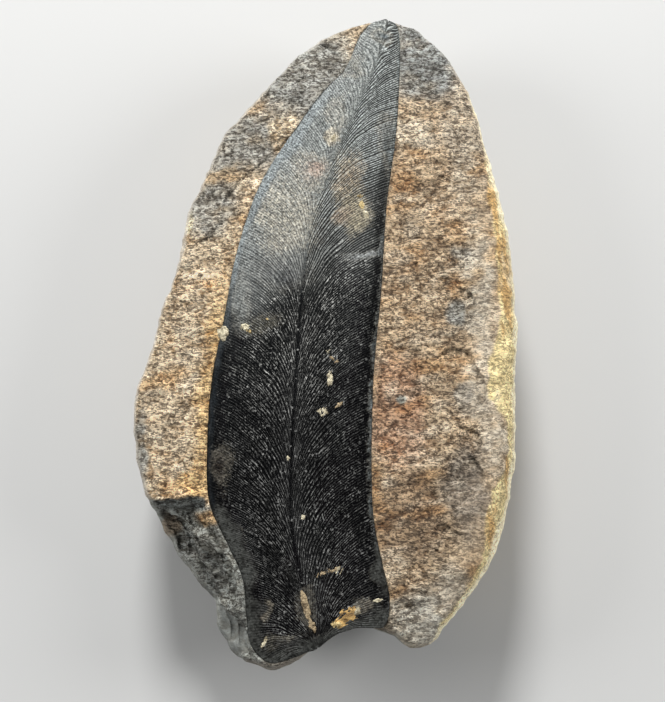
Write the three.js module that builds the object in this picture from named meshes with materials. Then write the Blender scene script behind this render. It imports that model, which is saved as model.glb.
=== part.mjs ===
// Half of a split ironstone concretion with a large seed-fern leaf pressed on its face.
// The plate lies on its domed back, face up, in millimetres with +Z up. +Y runs towards
// the leaf tip and +X across the plate. The origin is under the middle of the plate, on
// the surface that it rests on.
//
// The coaly leaf film is bonded to the stone and is part of it, so the plate is one solid.
// It is lofted as closed rings: from the middle of the face out to the rim, then down the
// side and in under the back to a small flat resting patch.

import * as THREE from 'three';

// Driving dimensions.
const FACE_HEIGHT = 19.6;
const CROWN_ACROSS = 0.0012;
const TOP_DIP_START = 12;
const TOP_DIP = 0.0022;
const RIND_SLOPE = 1.15;
const BACK_FULLNESS = 0.8;
const COLUMNS = 132;

// The flat patch that the plate rests on, an oval under the domed back.
const PATCH_CENTRE = new THREE.Vector2(0.5, -1);
const PATCH_HALF_WIDTH = 10;
const PATCH_HALF_LENGTH = 27;

// The rim seen from above, anticlockwise from the leaf tip: x, y, width of the rounded edge.
const RIM = [
  [8.8, 51.4, 1.2],
  [2.7, 49.8, 1.2],
  [-5.2, 44.5, 1.2],
  [-12.0, 36.2, 1.2],
  [-17.0, 30.2, 1.2],
  [-19.2, 24.2, 1.2],
  [-22.1, 17.2, 1.6],
  [-22.9, 11.0, 1.0],
  [-26.0, 0.9, 0.8],
  [-27.4, -5.0, 0.8],
  [-29.1, -9.7, 0.8],
  [-29.4, -15.6, 0.8],
  [-28.6, -21.8, 0.8],
  [-26.6, -27.2, 0.8],
  [-24.0, -32.2, 0.8],
  [-20.8, -37.2, 0.8],
  [-16.8, -41.6, 0.8],
  [-16.4, -45.6, 0.8],
  [-13.0, -49.6, 0.8],
  [-8.4, -51.4, 0.8],
  [-4.2, -50.0, 0.6],
  [0.2, -47.2, 0.6],
  [4.4, -45.4, 0.6],
  [8.6, -46.2, 0.6],
  [13.2, -48.7, 1.0],
  [17.4, -45.6, 1.8],
  [22.6, -39.0, 2.6],
  [26.0, -32.2, 3.8],
  [28.2, -23.6, 4.2],
  [29.0, -13.2, 3.4],
  [29.4, -2.2, 3.2],
  [29.3, 8.8, 3.6],
  [27.8, 18.0, 2.6],
  [25.2, 28.6, 1.8],
  [22.4, 39.0, 1.6],
  [18.8, 45.2, 1.4],
  [14.2, 49.6, 1.2],
];

// The middle line that the rings shrink to.
const SPINE_BOTTOM = new THREE.Vector2(-3.7, -26);
const SPINE_TOP = new THREE.Vector2(4.3, 28);

// Flat facets broken off the slab: a point on the facet, the heading in degrees that it
// falls towards, and how far it drops for each millimetre that way.
const BREAK_LEDGE = { x: -20, y: -26, z: 18.6, heading: 268, slope: 1.1 };
const BREAK_FLANK = { x: -14.8, y: -33.8, z: 19.0, heading: 197, slope: 0.8 };
const LOBE_CHIP = { x: 12, y: -38.7, z: 19.2, heading: 300, slope: 0.38 };

// Shares of the way from the middle line to the rim for the rings on the face.
const FACE_RINGS = [0.3, 0.52, 0.68, 0.8, 0.88, 0.94, 0.975, 1];
// Angles in degrees round the back, from the rim down to the resting patch.
const BACK_RINGS = [12, 26, 40, 54, 66, 77, 90];

function facet({ x, y, z, heading, slope }, px, py) {
  const angle = THREE.MathUtils.degToRad(heading);
  const away = (px - x) * Math.cos(angle) + (py - y) * Math.sin(angle);
  return z - slope * away;
}

function faceHeight(x, y) {
  const dip = TOP_DIP * Math.max(0, y - TOP_DIP_START) ** 2;
  const crown = FACE_HEIGHT - CROWN_ACROSS * x * x - dip;
  const corner = Math.max(facet(BREAK_LEDGE, x, y), facet(BREAK_FLANK, x, y));
  return Math.min(crown, corner, facet(LOBE_CHIP, x, y));
}

function rimPoints() {
  const points = RIM.map(([x, y, edge]) => new THREE.Vector3(x, y, edge));
  return new THREE.CatmullRomCurve3(points, true, 'centripetal').getSpacedPoints(COLUMNS).slice(0, -1);
}

function spinePoint(rim) {
  const share = (rim.y - SPINE_BOTTOM.y) / (SPINE_TOP.y - SPINE_BOTTOM.y);
  return SPINE_BOTTOM.clone().lerp(SPINE_TOP, THREE.MathUtils.clamp(share, 0, 1));
}

// A point of the face, at a share of the way from the middle line to the rim.
function facePoint(rim, share) {
  const middle = spinePoint(rim);
  const reach = Math.hypot(rim.x - middle.x, rim.y - middle.y);
  const x = middle.x + (rim.x - middle.x) * share;
  const y = middle.y + (rim.y - middle.y) * share;
  const rounding = RIND_SLOPE * Math.max(0, rim.z - reach * (1 - share)) ** 2 / rim.z;
  return new THREE.Vector3(x, y, faceHeight(x, y) - rounding);
}

function patchPoint(rim) {
  const across = (rim.x - PATCH_CENTRE.x) / PATCH_HALF_WIDTH;
  const along = (rim.y - PATCH_CENTRE.y) / PATCH_HALF_LENGTH;
  const reach = Math.hypot(across, along);
  const x = PATCH_CENTRE.x + PATCH_HALF_WIDTH * across / reach;
  const y = PATCH_CENTRE.y + PATCH_HALF_LENGTH * along / reach;
  return new THREE.Vector3(x, y, 0);
}

// A point of the side and back, at an angle round from the rim to the resting patch.
function backPoint(rim, degrees) {
  const edge = facePoint(rim, 1);
  const patch = patchPoint(rim);
  if (degrees === 90) {
    return patch;
  }
  const angle = THREE.MathUtils.degToRad(degrees);
  const inset = 1 - Math.cos(angle) ** BACK_FULLNESS;
  const height = edge.z * (1 - Math.sin(angle) ** BACK_FULLNESS);
  return new THREE.Vector3(edge.x, edge.y, 0).lerp(patch, inset).setZ(height);
}

function loftedPlate() {
  const rims = rimPoints();
  const rings = [
    ...FACE_RINGS.map((share) => rims.map((rim) => facePoint(rim, share))),
    ...BACK_RINGS.map((degrees) => rims.map((rim) => backPoint(rim, degrees))),
  ];
  const vertices = rings.flat();
  const faces = [];
  for (let ring = 0; ring + 1 < rings.length; ring += 1) {
    for (let column = 0; column < COLUMNS; column += 1) {
      const next = (column + 1) % COLUMNS;
      const a = ring * COLUMNS + column;
      const b = ring * COLUMNS + next;
      faces.push(a, a + COLUMNS, b, b, a + COLUMNS, b + COLUMNS);
    }
  }
  return { vertices, faces };
}

// Closes the first and last ring with the triangles of their own flat outline.
function capRing(vertices, faces, first, facesUp) {
  const outline = vertices.slice(first, first + COLUMNS).map(({ x, y }) => new THREE.Vector2(x, y));
  for (const [a, b, c] of THREE.ShapeUtils.triangulateShape(outline, [])) {
    faces.push(first + a, first + (facesUp ? b : c), first + (facesUp ? c : b));
  }
}

function plateGeometry() {
  const { vertices, faces } = loftedPlate();
  capRing(vertices, faces, 0, true);
  capRing(vertices, faces, vertices.length - COLUMNS, false);
  const geometry = new THREE.BufferGeometry().setFromPoints(vertices);
  geometry.setIndex(faces);
  geometry.computeVertexNormals();
  return geometry;
}

function stone() {
  return new THREE.MeshStandardMaterial({ color: 0x9c8a70, roughness: 0.92, metalness: 0 });
}

function fossilPlate() {
  const mesh = new THREE.Mesh(plateGeometry(), stone());
  mesh.name = 'fossil_plate';
  return mesh;
}

const plate = new THREE.Group();
plate.add(fossilPlate());

export default plate;
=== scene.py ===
import math

import bpy
import numpy as np
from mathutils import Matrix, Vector
from mathutils.geometry import delaunay_2d_cdt


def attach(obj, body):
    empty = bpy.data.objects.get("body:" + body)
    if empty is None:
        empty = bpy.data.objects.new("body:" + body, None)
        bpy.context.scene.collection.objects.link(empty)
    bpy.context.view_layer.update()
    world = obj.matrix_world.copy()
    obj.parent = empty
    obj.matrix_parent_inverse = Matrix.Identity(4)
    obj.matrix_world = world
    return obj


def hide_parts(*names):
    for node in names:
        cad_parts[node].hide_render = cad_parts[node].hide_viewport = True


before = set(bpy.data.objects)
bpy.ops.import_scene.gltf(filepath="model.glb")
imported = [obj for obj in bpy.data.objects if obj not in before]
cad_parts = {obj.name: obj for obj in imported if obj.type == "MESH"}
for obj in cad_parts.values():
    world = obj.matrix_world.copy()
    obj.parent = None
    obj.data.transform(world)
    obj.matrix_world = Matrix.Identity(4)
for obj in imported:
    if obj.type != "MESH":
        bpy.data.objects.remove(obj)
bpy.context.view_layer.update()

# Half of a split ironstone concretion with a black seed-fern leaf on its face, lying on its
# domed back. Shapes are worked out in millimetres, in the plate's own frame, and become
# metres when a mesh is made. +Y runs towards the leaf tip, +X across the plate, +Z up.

MM = 0.001

# --- shape of the plate ---

FACE_HEIGHT = 19.6
CROWN_ACROSS = 0.0012
TOP_DIP_START = 12
TOP_DIP = 0.0022
RIND_SLOPE = 1.15
BACK_FULLNESS = 0.8
PATCH_CENTRE = np.array([0.5, -1.0])
PATCH_HALF_WIDTH = 10
PATCH_HALF_LENGTH = 27
RIM_INSET = 0.12
FACE_INSET = 0.62

# The rim seen from above, anticlockwise from the leaf tip: x, y, width of the rounded edge.
RIM = np.array([
    [8.8, 51.4, 1.2], [2.7, 49.8, 1.2], [-5.2, 44.5, 1.2], [-12.0, 36.2, 1.2],
    [-17.0, 30.2, 1.2], [-19.2, 24.2, 1.2], [-22.1, 17.2, 1.6], [-22.9, 11.0, 1.0],
    [-26.0, 0.9, 0.8], [-27.4, -5.0, 0.8], [-29.1, -9.7, 0.8], [-29.4, -15.6, 0.8],
    [-28.6, -21.8, 0.8], [-26.6, -27.2, 0.8], [-24.0, -32.2, 0.8], [-20.8, -37.2, 0.8],
    [-16.8, -41.6, 0.8], [-16.4, -45.6, 0.8], [-13.0, -49.6, 0.8], [-8.4, -51.4, 0.8],
    [-4.2, -50.0, 0.6], [0.2, -47.2, 0.6], [4.4, -45.4, 0.6], [8.6, -46.2, 0.6],
    [13.2, -48.7, 1.0], [17.4, -45.6, 1.8], [22.6, -39.0, 2.6], [26.0, -32.2, 3.8],
    [28.2, -23.6, 4.2], [29.0, -13.2, 3.4], [29.4, -2.2, 3.2], [29.3, 8.8, 3.6],
    [27.8, 18.0, 2.6], [25.2, 28.6, 1.8], [22.4, 39.0, 1.6], [18.8, 45.2, 1.4],
    [14.2, 49.6, 1.2],
])

# Broken facets: a point on each, the heading in degrees that it falls towards, its slope.
BREAK_LEDGE = (-20, -26, 18.6, 268, 1.1)
BREAK_FLANK = (-14.8, -33.8, 19.0, 197, 0.8)
LOBE_CHIP = (12, -38.7, 19.2, 300, 0.38)

# --- shape of the leaf ---

# From the base to the tip, where the midrib and both margins meet on the rim.
MIDRIB = [
    (-1.4, -48.0), (-2.3, -44.0), (-3.5, -39.6), (-4.7, -34.6), (-5.4, -29.1), (-5.4, -22.5),
    (-5.2, -15.8), (-4.8, -9.1), (-4.1, 2.6), (-2.6, 15.3), (0.5, 25.5), (4.7, 35.9),
    (7.5, 42.4), (9.7, 50.8),
]
LEFT_MARGIN = [
    (-1.4, -48.0), (-4.6, -49.4), (-8.4, -50.2), (-11.0, -47.8), (-11.8, -43.3), (-12.4, -38.2),
    (-14.5, -33.6), (-17.4, -27.4), (-17.9, -18.0), (-17.4, -8.8), (-16.0, -0.9),
    (-13.9, 11.0), (-10.5, 21.8), (-4.4, 32.3), (-0.9, 37.5), (2.7, 41.8), (5.4, 48.4),
    (7.4, 50.4), (9.7, 50.8),
]
RIGHT_MARGIN = [
    (-1.4, -48.0), (1.4, -46.2), (4.2, -44.9), (8.0, -45.2), (9.0, -41.6), (8.0, -36.2),
    (6.8, -30.0), (6.5, -19.2), (6.9, -7.8), (8.1, 4.7), (9.1, 18.9), (10.6, 29.9),
    (11.2, 38.0), (11.4, 48.0), (10.9, 50.0), (9.7, 50.8),
]
VEIN_GAP = 0.42
MIDRIB_HALF_WIDTH = 0.14
LEAF_RECESS = 0.16

# Share of the way up the leaf, and the angle in degrees that veins there make at the
# margin, measured up from straight out across the plate.
LEFT_VEIN_ENDS = [
    (0, -28), (0.06, -32), (0.11, -10), (0.18, 6), (0.25, 14), (0.4, 22), (0.62, 24), (0.77, 38),
    (0.9, 72), (1, 60),
]
RIGHT_VEIN_ENDS = [
    (0, 24), (0.05, 10), (0.09, 0), (0.14, 10), (0.22, 24), (0.6, 26), (0.85, 14), (0.94, 40), (1, 110),
]


# --- numbers and noise ---

def smooth(low, high, value):
    """0 below low, 1 above high, and a smooth rise between."""
    t = np.clip((value - low) / (high - low), 0, 1)
    return t * t * (3 - 2 * t)


def mix(a, b, share):
    return a + (b - a) * share


def lengths(vectors):
    return np.linalg.norm(vectors, axis=1)


def heading(degrees):
    angle = np.radians(degrees)
    return np.stack([np.cos(angle), np.sin(angle)], -1)


def lattice(cell, seed):
    """A repeatable number from 0 to 1 for each whole-number lattice point."""
    n = cell[..., 0] * 73856093 ^ cell[..., 1] * 19349663 ^ cell[..., 2] * 83492791 ^ seed * 26544357
    n = (n ^ (n >> 13)) * 1274126177 & 0xFFFFFFFF
    n = (n ^ (n >> 16)) * 374761393 & 0xFFFFFFFF
    return ((n ^ (n >> 15)) & 0xFFFFFF) / 0xFFFFFF


def in_space(points):
    """Points of a flat drawing as points of space; points of space stay as they are."""
    return points if points.shape[1] == 3 else np.column_stack([points, np.zeros(len(points))])


def noise(points, size, seed):
    """Smooth noise from -1 to 1, with features of that size."""
    scaled = in_space(points) / size
    cell = np.floor(scaled).astype(np.int64)
    part = scaled - cell
    part = part * part * (3 - 2 * part)
    total = np.zeros(len(points))
    for corner in np.ndindex(2, 2, 2):
        weight = np.prod(np.where(np.array(corner) == 1, part, 1 - part), axis=1)
        total += weight * lattice(cell + np.array(corner), seed)
    return total * 2 - 1


def layered(points, size, layers, seed):
    """Noise with finer, weaker layers on top, from about -1 to 1."""
    points = in_space(points)
    total = np.zeros(len(points))
    for layer in range(layers):
        total += noise(points + 17.3 * layer, size / 2 ** layer, seed + layer) / 2 ** layer
    return total / 1.5


def grains(points, size, seed):
    """Distance to the nearest and second nearest of scattered grain centres, in grain sizes."""
    scaled = in_space(points) / size
    cell = np.floor(scaled).astype(np.int64)
    nearest = np.full(len(points), 9.0)
    second = np.full(len(points), 9.0)
    for step in np.ndindex(3, 3, 3):
        home = cell + np.array(step) - 1
        centre = home + np.stack([lattice(home, seed + axis) for axis in range(3)], 1)
        away = lengths(scaled - centre)
        second = np.minimum(second, np.maximum(nearest, away))
        nearest = np.minimum(nearest, away)
    return nearest, second


# --- curves ---

def spline(points, closed, steps=24):
    """A smooth curve through the points: a centripetal Catmull-Rom spline."""
    points = np.asarray(points, float)
    if closed:
        points = np.vstack([points[-1], points, points[:2]])
    else:
        points = np.vstack([2 * points[0] - points[1], points, 2 * points[-1] - points[-2]])
    curve = []
    for p0, p1, p2, p3 in zip(points, points[1:], points[2:], points[3:]):
        t1 = np.linalg.norm(p1[:2] - p0[:2]) ** 0.5
        t2 = t1 + np.linalg.norm(p2[:2] - p1[:2]) ** 0.5
        t3 = t2 + np.linalg.norm(p3[:2] - p2[:2]) ** 0.5
        t = np.linspace(t1, t2, steps, endpoint=False)[:, None]
        a1 = mix(p0, p1, t / t1)
        a2 = mix(p1, p2, (t - t1) / (t2 - t1))
        a3 = mix(p2, p3, (t - t2) / (t3 - t2))
        b1 = mix(a1, a2, t / t2)
        b2 = mix(a2, a3, (t - t1) / (t3 - t1))
        curve.append(mix(b1, b2, (t - t1) / (t2 - t1)))
    if not closed:
        curve.append(points[-2:-1])
    return np.vstack(curve)


def closed(loop):
    return np.vstack([loop, loop[:1]])


def lengths_along(curve):
    return np.concatenate([[0], np.cumsum(lengths(np.diff(curve[:, :2], axis=0)))])


def at_share(curve, share):
    """The points at those shares of a curve's length."""
    along = lengths_along(curve)
    return np.stack([np.interp(share * along[-1], along, column) for column in curve.T], -1)


def even_loop(curve, gap):
    """A closed curve again, with its points about that gap apart."""
    loop = closed(curve)
    count = round(lengths_along(loop)[-1] / gap)
    return at_share(loop, np.arange(count) / count)


def distance_to(xy, path):
    """How far each point is from a path, and the nearest place along it as an index."""
    best = np.full(len(xy), 1e9)
    place = np.zeros(len(xy))
    for index, (a, b) in enumerate(zip(path[:-1, :2], path[1:, :2])):
        along = b - a
        share = np.clip((xy - a) @ along / (along @ along), 0, 1)
        away = lengths(xy - a - share[:, None] * along)
        closer = away < best
        best[closer] = away[closer]
        place[closer] = index + share[closer]
    return best, place


def inside(xy, loop):
    """True for the points inside a closed loop."""
    x, y = xy.T
    result = np.zeros(len(xy), bool)
    for (x1, y1), (x2, y2) in zip(loop[:, :2], np.roll(loop[:, :2], -1, axis=0)):
        crosses = (y1 > y) != (y2 > y)
        if y1 != y2:
            result ^= crosses & (x < (x2 - x1) * (y - y1) / (y2 - y1) + x1)
    return result


def depth_inside(xy, loop):
    """Distance to a closed loop, positive inside it and negative outside."""
    away, place = distance_to(xy, closed(loop))
    return np.where(inside(xy, loop), away, -away), place


# --- the plate's surface ---

def rim_loop(gap):
    """The rim with its small scallops, as x, y and width of the rounded edge."""
    loop = even_loop(spline(RIM, closed=True), gap)
    outward = loop[:, :2] - PATCH_CENTRE
    outward /= lengths(outward)[:, None]
    scallop = 0.22 * noise(loop[:, :2], 2.6, 3) + 0.10 * noise(loop[:, :2], 0.9, 4)
    loop[:, :2] += outward * (scallop - RIM_INSET)[:, None]
    return loop


def facet(spec, xy):
    x, y, z, towards, slope = spec
    return z - slope * ((xy - np.array([x, y])) @ heading(towards))


def plain_face(xy):
    """Height of the split face, before its chips and grain."""
    dip = TOP_DIP * np.maximum(0, xy[:, 1] - TOP_DIP_START) ** 2
    swell = 0.30 * layered(xy, 15, 2, 11) - FACE_INSET
    return FACE_HEIGHT - CROWN_ACROSS * xy[:, 0] ** 2 - dip + swell


def broken_face(xy):
    """The face with the corner at the lower left and the lower right lobe broken away."""
    wobble = 0.7 * layered(xy, 5, 3, 21)
    corner = broken_corner(xy)
    lobe = facet(LOBE_CHIP, xy) + 0.4 * wobble
    return np.minimum(plain_face(xy), np.minimum(corner, lobe))


def broken_corner(xy):
    """The broken corner at the lower left: two rough facets that show the stone's layers."""
    wobble = 0.9 * layered(xy, 5, 3, 21) + 0.3 * layered(xy, 1.7, 3, 25)
    height = np.maximum(facet(BREAK_LEDGE, xy), facet(BREAK_FLANK, xy)) + wobble
    layer = height / 1.3 + 0.25 * noise(xy, 6, 23)
    return height + 0.28 * np.sin(2 * math.pi * layer) * smooth(19.5, 18, height)


def rounding(depth, width):
    """How far the rounded edge of the face falls, by depth in from the rim."""
    return RIND_SLOPE * np.maximum(0, width - depth) ** 2 / width


# --- meshes ---

# Bake maps: the flat drawing is shifted until none of it is negative, then scaled to fit in
# 0 to 1. The stone's face and back lie side by side on one map, so it spans more millimetres.
MAP_SHIFT = np.array([31.0, 54.0])
STONE_MAP_SPAN = 122.0
LEAF_MAP_SPAN = 110.0

# Height of a row of equal triangles with sides of 1.
ROW_HEIGHT = 0.866


def hex_grid(gap):
    """Points all over the plate: a grid of triangles with a little disorder."""
    low, high = RIM_LOOP[:, :2].min(0), RIM_LOOP[:, :2].max(0)
    rows = int((high[1] - low[1]) / (gap * ROW_HEIGHT))
    columns = int((high[0] - low[0]) / gap)
    row, column = np.divmod(np.arange(rows * columns), columns)
    xy = np.stack([low[0] + (column + row % 2 / 2) * gap, low[1] + row * gap * ROW_HEIGHT], 1)
    cell = np.stack([row, column, column * 0], 1)
    jitter = np.stack([lattice(cell, 71), lattice(cell, 72)], 1) - 0.5
    return xy + jitter * gap * 0.3


def triangles(loop, points):
    """Triangles that fill a closed loop and use all the points inside it."""
    flat = [Vector(p) for p in np.vstack([loop[:, :2], points]).tolist()]
    count = len(loop)
    edges = [(i, (i + 1) % count) for i in range(count)]
    faces = np.array(delaunay_2d_cdt(flat, edges, [], 1, 1e-6, False)[2], int)
    spans_rim = np.all(faces < count, axis=1)
    outside = spans_rim.copy()
    outside[spans_rim] = ~inside(loop[faces[spans_rim], :2].mean(axis=1), loop)
    return faces[~outside]


def vertex_normals(points, faces):
    a, b, c = points[faces[:, 0]], points[faces[:, 1]], points[faces[:, 2]]
    flat = np.cross(b - a, c - a)
    normals = np.zeros_like(points)
    for corner in range(3):
        for axis in range(3):
            normals[:, axis] += np.bincount(faces[:, corner], flat[:, axis], len(points))
    return normals / np.maximum(lengths(normals), 1e-12)[:, None]


def corner_map(drawing, faces, span):
    """The place on the square bake map of each corner of each face."""
    return ((drawing + MAP_SHIFT) / span)[faces.ravel()]


def placed(name, data):
    holder = bpy.data.objects.new(name, data)
    bpy.context.scene.collection.objects.link(holder)
    return holder


def make_mesh(name, points, faces, corner_uv, looks, material):
    """A mesh object from millimetre points. Its looks are named columns for the material:
    three numbers a point for a colour or a place, one number for anything else."""
    mesh = bpy.data.meshes.new(name)
    mesh.from_pydata((points * MM).tolist(), [], faces.tolist())
    mesh.uv_layers.new(name="OFBake").data.foreach_set("uv", corner_uv.astype(np.float32).ravel())
    for key, values in looks.items():
        if values.ndim == 1:
            mesh.attributes.new(key, "FLOAT", "POINT").data.foreach_set("value", values.astype(np.float32))
        else:
            column = mesh.attributes.new(key, "FLOAT_VECTOR", "POINT")
            column.data.foreach_set("vector", values.astype(np.float32).ravel())
    mesh.materials.append(material)
    mesh.shade_smooth()
    mesh.update()
    return placed(name, mesh)


# --- the stone ---

# Distances between the mesh points of the bare face, under the leaf and on the back.
STONE_GAP = 0.26
UNDER_LEAF_GAP = 1.0
BACK_GAP = 0.44

# How deep the stone lies under the leaf film, below the split face.
LEAF_BED = 0.55

RIM_LOOP = rim_loop(STONE_GAP)
COARSE_RIM = even_loop(RIM_LOOP, 0.8)
LEFT_EDGE = spline(LEFT_MARGIN, False, 8)
RIGHT_EDGE = spline(RIGHT_MARGIN, False, 8)
LEAF_LOOP = np.vstack([LEFT_EDGE, RIGHT_EDGE[-2:0:-1]])

# Edges of flakes on the face: the path of each edge with its standing side on the right of
# travel, how far the other side drops, and how far away from the edge it levels out again.
# The last one is the edge of the smooth scar at the lower left, round SCAR_CENTRE.
FLAKE_EDGES = [
    ([(20.9, -2.0), (21.8, 0.1), (22.4, 2.7), (22.0, 4.4), (20.6, 5.4), (18.6, 5.6)], 0.55, 3.5),
    ([(18.6, -14.4), (20.2, -14.2), (21.8, -13.6), (23.4, -12.1), (23.6, -9.8), (22.2, -6.3), (21.2, -4.6),
      (19.3, -3.9), (17.8, -4.4), (16.6, -5.3)], 0.65, 3.2),
    ([(21.6, -20.2), (22.9, -18.3), (22.6, -17.2), (20.7, -16.0), (18.6, -16.0)], 0.45, 2.6),
    ([(18.8, -28.0), (20.4, -27.1), (22.6, -25.0), (23.0, -23.2), (21.4, -20.3), (19.6, -19.8)], 0.5, 3.0),
    ([(21.0, -31.9), (18.9, -31.5), (17.0, -30.4), (15.2, -30.2)], 0.45, 2.6),
    ([(16.0, 33.2), (13.0, 34.0), (10.9, 33.8)], 0.4, 2.4),
    ([(20.3, 22.8), (18.0, 23.4), (16.2, 23.8)], 0.4, 1.8),
    ([(2.6, 43.9), (1.2, 44.8), (-0.8, 46.4), (-2.2, 46.2)], 0.6, 2.4),
    ([(-1.8, 40.6), (-3.4, 40.2), (-5.0, 40.4)], 0.45, 2.0),
    ([(-3.6, 32.2), (-7.6, 28.3), (-10.8, 25.3), (-13.6, 22.7), (-16.3, 18.7), (-16.4, 16.3),
      (-19.2, 13.3), (-21.6, 12.4)], 0.45, 4.0),
    ([(-13.2, -41.3), (-13.6, -38.0), (-14.9, -35.2), (-17.4, -33.7), (-18.9, -32.7), (-21.1, -30.1),
      (-24.0, -28.5), (-25.9, -27.9)], 0.8, 6.0),
    ([(-16.7, -31.4), (-18.3, -30.0), (-21.0, -28.2), (-23.5, -27.6)], 0.35, 2.0),
    ([(-12.9, -49.6), (-11.3, -48.2), (-10.9, -47.0), (-11.7, -45.6), (-13.3, -44.2), (-15.2, -42.2),
      (-16.8, -41.6)], 0.45, 6.0),
]
SCAR_CENTRE = np.array([-15, -46])

# The ochre rind lies on the right of this line, from the bottom up.
RIND_LINE = spline([
    (15.9, -46.4), (17.6, -43.5), (19.9, -39.9), (21.8, -36.3), (23.1, -33.0), (23.3, -29.2),
    (24.7, -25.0), (26.5, -21.2), (26.7, -15.3), (24.2, -11.3), (24.1, -7.0), (25.9, -0.1),
    (26.1, 6.5), (26.0, 12.8), (24.9, 19.2), (24.6, 29.4), (23.0, 35.2), (22.2, 40.2), (20.6, 45.0),
], False, 4)


def side_of(xy, path):
    """Distance to a path: positive on the right of travel, negative on the left."""
    away, place = distance_to(xy, path)
    index = np.clip(place.astype(int), 0, len(path) - 2)
    along = path[index + 1] - path[index]
    offset = xy - path[index]
    on_right = along[:, 0] * offset[:, 1] - along[:, 1] * offset[:, 0] < 0
    end = np.minimum(place, len(path) - 1 - place)
    return np.where(on_right, away, -away), end


def flake_edges(xy):
    """How far the flaked parts of the face drop, and how near each point is to the bottom and the top of an
    edge, where the colour gets a painted shadow and a painted highlight.
    """
    total = np.zeros(len(xy))
    foot_shadow = np.zeros(len(xy))
    brow_highlight = np.zeros(len(xy))
    jog = 0.16 * np.stack([noise(xy, 0.8, 31), noise(xy, 0.8, 32)], 1)
    for path, drop, reach in FLAKE_EDGES:
        curve = spline(path, False, 6)
        side, end = side_of(xy + jog, curve)
        fading = smooth(0, 6, end)
        below = smooth(-0.12, 0.12, -side) * np.exp(np.minimum(side, 0) / reach)
        total += drop * below * fading
        foot_shadow = np.maximum(foot_shadow, fading * np.exp(-((side + 0.08) / 0.12) ** 2))
        brow_highlight = np.maximum(brow_highlight, fading * np.exp(-((side - 0.22) / 0.16) ** 2))
    return total, foot_shadow, brow_highlight


def billow(points, size, seed):
    """Rounded lumps with narrow creases between them, from 0 in a crease to 1 on a lump."""
    return np.abs(noise(points, size, seed) + 0.35 * noise(points, size * 0.5, seed + 5))


def tilted(xy, degrees, stretch):
    """The drawing turned and squeezed, so that noise on it runs along that direction."""
    return np.stack([xy @ heading(degrees) / stretch, xy @ heading(degrees + 90)], 1)


def streaks(xy, degrees, stretch, size, seed):
    """Layered noise drawn out along that direction."""
    return layered(tilted(xy, degrees, stretch), size, 3, seed)


def face_grain(xy):
    """The rough grain of the split face, about -1 to 1."""
    run = tilted(xy, 8, 1.5)
    lumps = billow(run, 1.7, 41) + 0.55 * billow(run, 0.85, 43)
    near, second = grains(run, 0.62, 51)
    return 0.9 * (lumps - 0.45) + 0.55 * smooth(0.0, 0.35, second - near) - 0.45


def calmness(xy, rim_depth):
    """How smooth the stone is: 0 on the rough split face, 1 on the rind, the rim and one scar."""
    past_line = side_of(xy, RIND_LINE)[0]
    rind = smooth(-0.5, 0.6, past_line)
    outer = 0.45 * smooth(-5.5, -2.5, past_line) * smooth(30, 10, xy[:, 1])
    scar_side = side_of(xy, spline(FLAKE_EDGES[-1][0], False, 6))[0]
    scar = smooth(0.1, -0.3, scar_side) * smooth(7, 5, lengths(xy - SCAR_CENTRE))
    edge = smooth(0.9, 0.3, rim_depth)
    return np.maximum.reduce([0.5 * rind, outer, scar, 0.8 * edge])


def face_relief(xy, leaf_depth, rim_depth):
    """Relief of the bare face, in millimetres: lumps, flakes, grain and the leaf's bed."""
    lumps = 0.32 * layered(tilted(xy, 14, 1.4), 4.2, 2, 61)
    grain = 0.34 * (1 - 0.8 * calmness(xy, rim_depth)) * face_grain(xy)
    bare = lumps + grain - flake_edges(xy)[0]
    lip = 0.14 * np.exp(leaf_depth / 0.8)
    under_leaf = smooth(-0.06, 0.06, leaf_depth)
    return mix(bare + lip, -LEAF_BED, under_leaf)


def stone_face_points():
    """Points for the face: close together where the stone is bare, and on the leaf's edge."""
    fine = hex_grid(STONE_GAP)
    coarse = hex_grid(UNDER_LEAF_GAP)
    fine_depth, _ = depth_inside(fine, LEAF_LOOP)
    coarse_depth, _ = depth_inside(coarse, LEAF_LOOP)
    fine = fine[(fine_depth < 0.45) & (np.abs(fine_depth) > 0.2)]
    coarse = coarse[coarse_depth > 0.8]
    edge = even_loop(LEAF_LOOP, STONE_GAP)
    ahead = np.roll(edge, -1, axis=0) - np.roll(edge, 1, axis=0)
    across = np.stack([-ahead[:, 1], ahead[:, 0]], 1) / lengths(ahead)[:, None]
    both_sides = np.vstack([edge + across * 0.09, edge - across * 0.09])
    points = np.vstack([fine, coarse, both_sides])
    rim_depth, _ = depth_inside(points, COARSE_RIM)
    return points[rim_depth > STONE_GAP * 0.8]


def radial_share(xy):
    """Polar place of each point about the patch centre: share of the way to the rim, rim point."""
    spokes = RIM_LOOP[:, :2] - PATCH_CENTRE
    angles = np.arctan2(spokes[:, 1], spokes[:, 0])
    order = np.argsort(angles)
    own = xy - PATCH_CENTRE
    angle = np.arctan2(own[:, 1], own[:, 0])
    rim = np.stack([
        np.interp(angle, angles[order], column[order], period=2 * math.pi) for column in spokes.T
    ], 1)
    return lengths(own) / lengths(rim), rim


# The share of the flat drawing, from its middle, that becomes the resting patch.
PATCH_SHARE = 0.45


def back_surface(xy, rim_height):
    """The side and back: a flat drawing inside the rim, folded down and under the plate."""
    share, spoke = radial_share(xy)
    turn = np.clip((1 - share) / (1 - PATCH_SHARE), 0, 1) ** 1.25 * math.pi / 2
    reach = lengths(spoke / np.array([PATCH_HALF_WIDTH, PATCH_HALF_LENGTH]))
    inset = 1 - np.abs(np.cos(turn)) ** BACK_FULLNESS
    place = mix(1, 1 / reach, inset) * np.where(share < PATCH_SHARE, share / PATCH_SHARE, 1)
    height = rim_height * (1 - np.sin(turn) ** BACK_FULLNESS)
    height[share <= PATCH_SHARE] = 0
    return np.column_stack([PATCH_CENTRE + spoke * place[:, None], height])


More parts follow.
